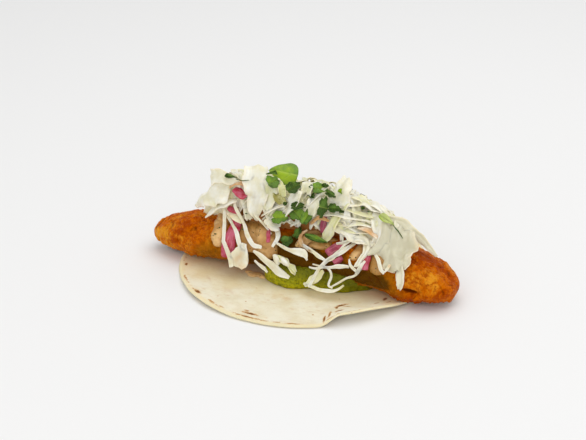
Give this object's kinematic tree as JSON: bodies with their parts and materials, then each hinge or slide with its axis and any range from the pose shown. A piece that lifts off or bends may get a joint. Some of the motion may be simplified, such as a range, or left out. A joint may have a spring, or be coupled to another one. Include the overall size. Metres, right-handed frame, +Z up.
{
  "type": "taco",
  "caption": "Battered fish taco, open on a flat flour tortilla, under cabbage, pickled onion, crema, green salsa and cilantro.",
  "frame": {"origin": "on the surface that the taco lies on, under the middle of its box and of its tortilla", "axes": "+X along the fish, from its thick blunt end to its flat end; +Y away from the open front of the tortilla; +Z up"},
  "size_m": [0.194, 0.152, 0.0648],
  "materials": {
    "tortilla": "thin flour tortilla, matt, pale cream with brown toast marks",
    "batter": "fried beer batter, craggy, golden brown, a little oily",
    "crema": "thick peach chipotle crema with herb flecks, soft gloss",
    "salsa": "coarse green salsa, wet",
    "onion": "pickled red onion, crimson with pale edges, wet",
    "cabbage": "raw white cabbage, thin, crisp and part translucent",
    "cilantro": "fresh cilantro leaf, bright green, satin"
  },
  "bodies": {
    "root": {"tortilla": "tortilla", "battered_fish": "batter", "green_salsa": "salsa", "cabbage": "cabbage", "onion_1": "onion", "onion_2": "onion", "onion_3": "onion", "onion_4": "onion", "onion_5": "onion", "onion_6": "onion", "onion_7": "onion", "onion_8": "onion", "onion_9": "onion", "onion_10": "onion", "cilantro_1": "cilantro", "cilantro_2": "cilantro", "cilantro_3": "cilantro", "cilantro_4": "cilantro", "cilantro_5": "cilantro", "cilantro_6": "cilantro", "cilantro_7": "cilantro", "cilantro_8": "cilantro", "cilantro_9": "cilantro", "cilantro_10": "cilantro", "cilantro_11": "cilantro", "cilantro_12": "cilantro", "cilantro_13": "cilantro", "cilantro_14": "cilantro", "cilantro_15": "cilantro", "cilantro_16": "cilantro", "cilantro_17": "cilantro", "cilantro_18": "cilantro", "cilantro_19": "cilantro", "cilantro_20": "cilantro"}
  },
  "joints": []
}
